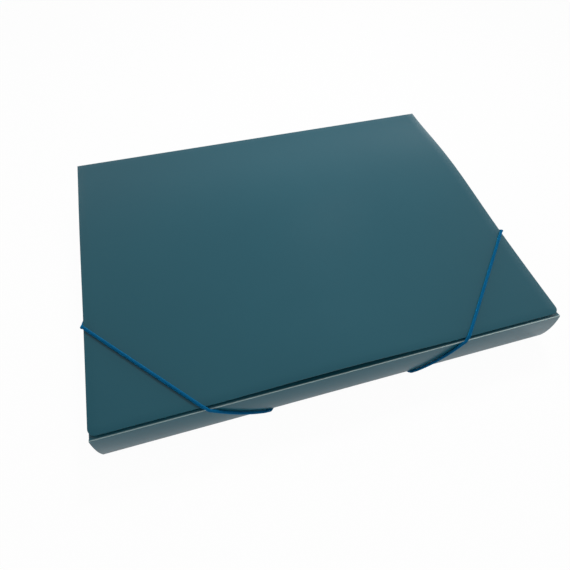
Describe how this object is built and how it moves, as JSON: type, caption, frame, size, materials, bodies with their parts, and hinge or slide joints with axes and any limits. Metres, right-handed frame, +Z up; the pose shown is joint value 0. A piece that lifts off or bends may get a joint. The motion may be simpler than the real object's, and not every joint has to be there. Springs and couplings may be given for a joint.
{
  "type": "elastic box file",
  "caption": "Closed box file for A4 papers, folded from dark teal plastic sheet, with a hinged cover and spine and elastic cords across its front corners.",
  "frame": {"origin": "under the middle of the closed box, on the surface that it stands on", "axes": "+X along the long side to the right of the front wall, +Y from the front wall to the spine, +Z up"},
  "size_m": [0.3286, 0.2458, 0.0367],
  "materials": {
    "polypropylene_sheet": "satin extruded sheet with a very fine even grain",
    "elastic_cord": "braided textile cover over a rubber core",
    "nickelled_steel": "bright nickel plate"
  },
  "bodies": {
    "tray": {"tray": "polypropylene_sheet", "elastic_left": "elastic_cord", "elastic_right": "elastic_cord", "ferrule_left_side": "nickelled_steel", "ferrule_left_front": "nickelled_steel", "ferrule_right_side": "nickelled_steel", "ferrule_right_front": "nickelled_steel"},
    "spine": {"spine": "polypropylene_sheet"},
    "cover": {"cover": "polypropylene_sheet"}
  },
  "joints": [
    {"name": "spine_hinge", "type": "hinge", "parent": "tray", "child": "spine", "pos_m": [0, 0.1229, 0.0023], "axis": [-1, 0, 0], "range_deg": [0, 90]},
    {"name": "cover_hinge", "type": "hinge", "parent": "spine", "child": "cover", "pos_m": [0, 0.1229, 0.0335], "axis": [-1, 0, 0], "range_deg": [0, 89], "deforming": ["elastic_left", "elastic_right"]}
  ]
}
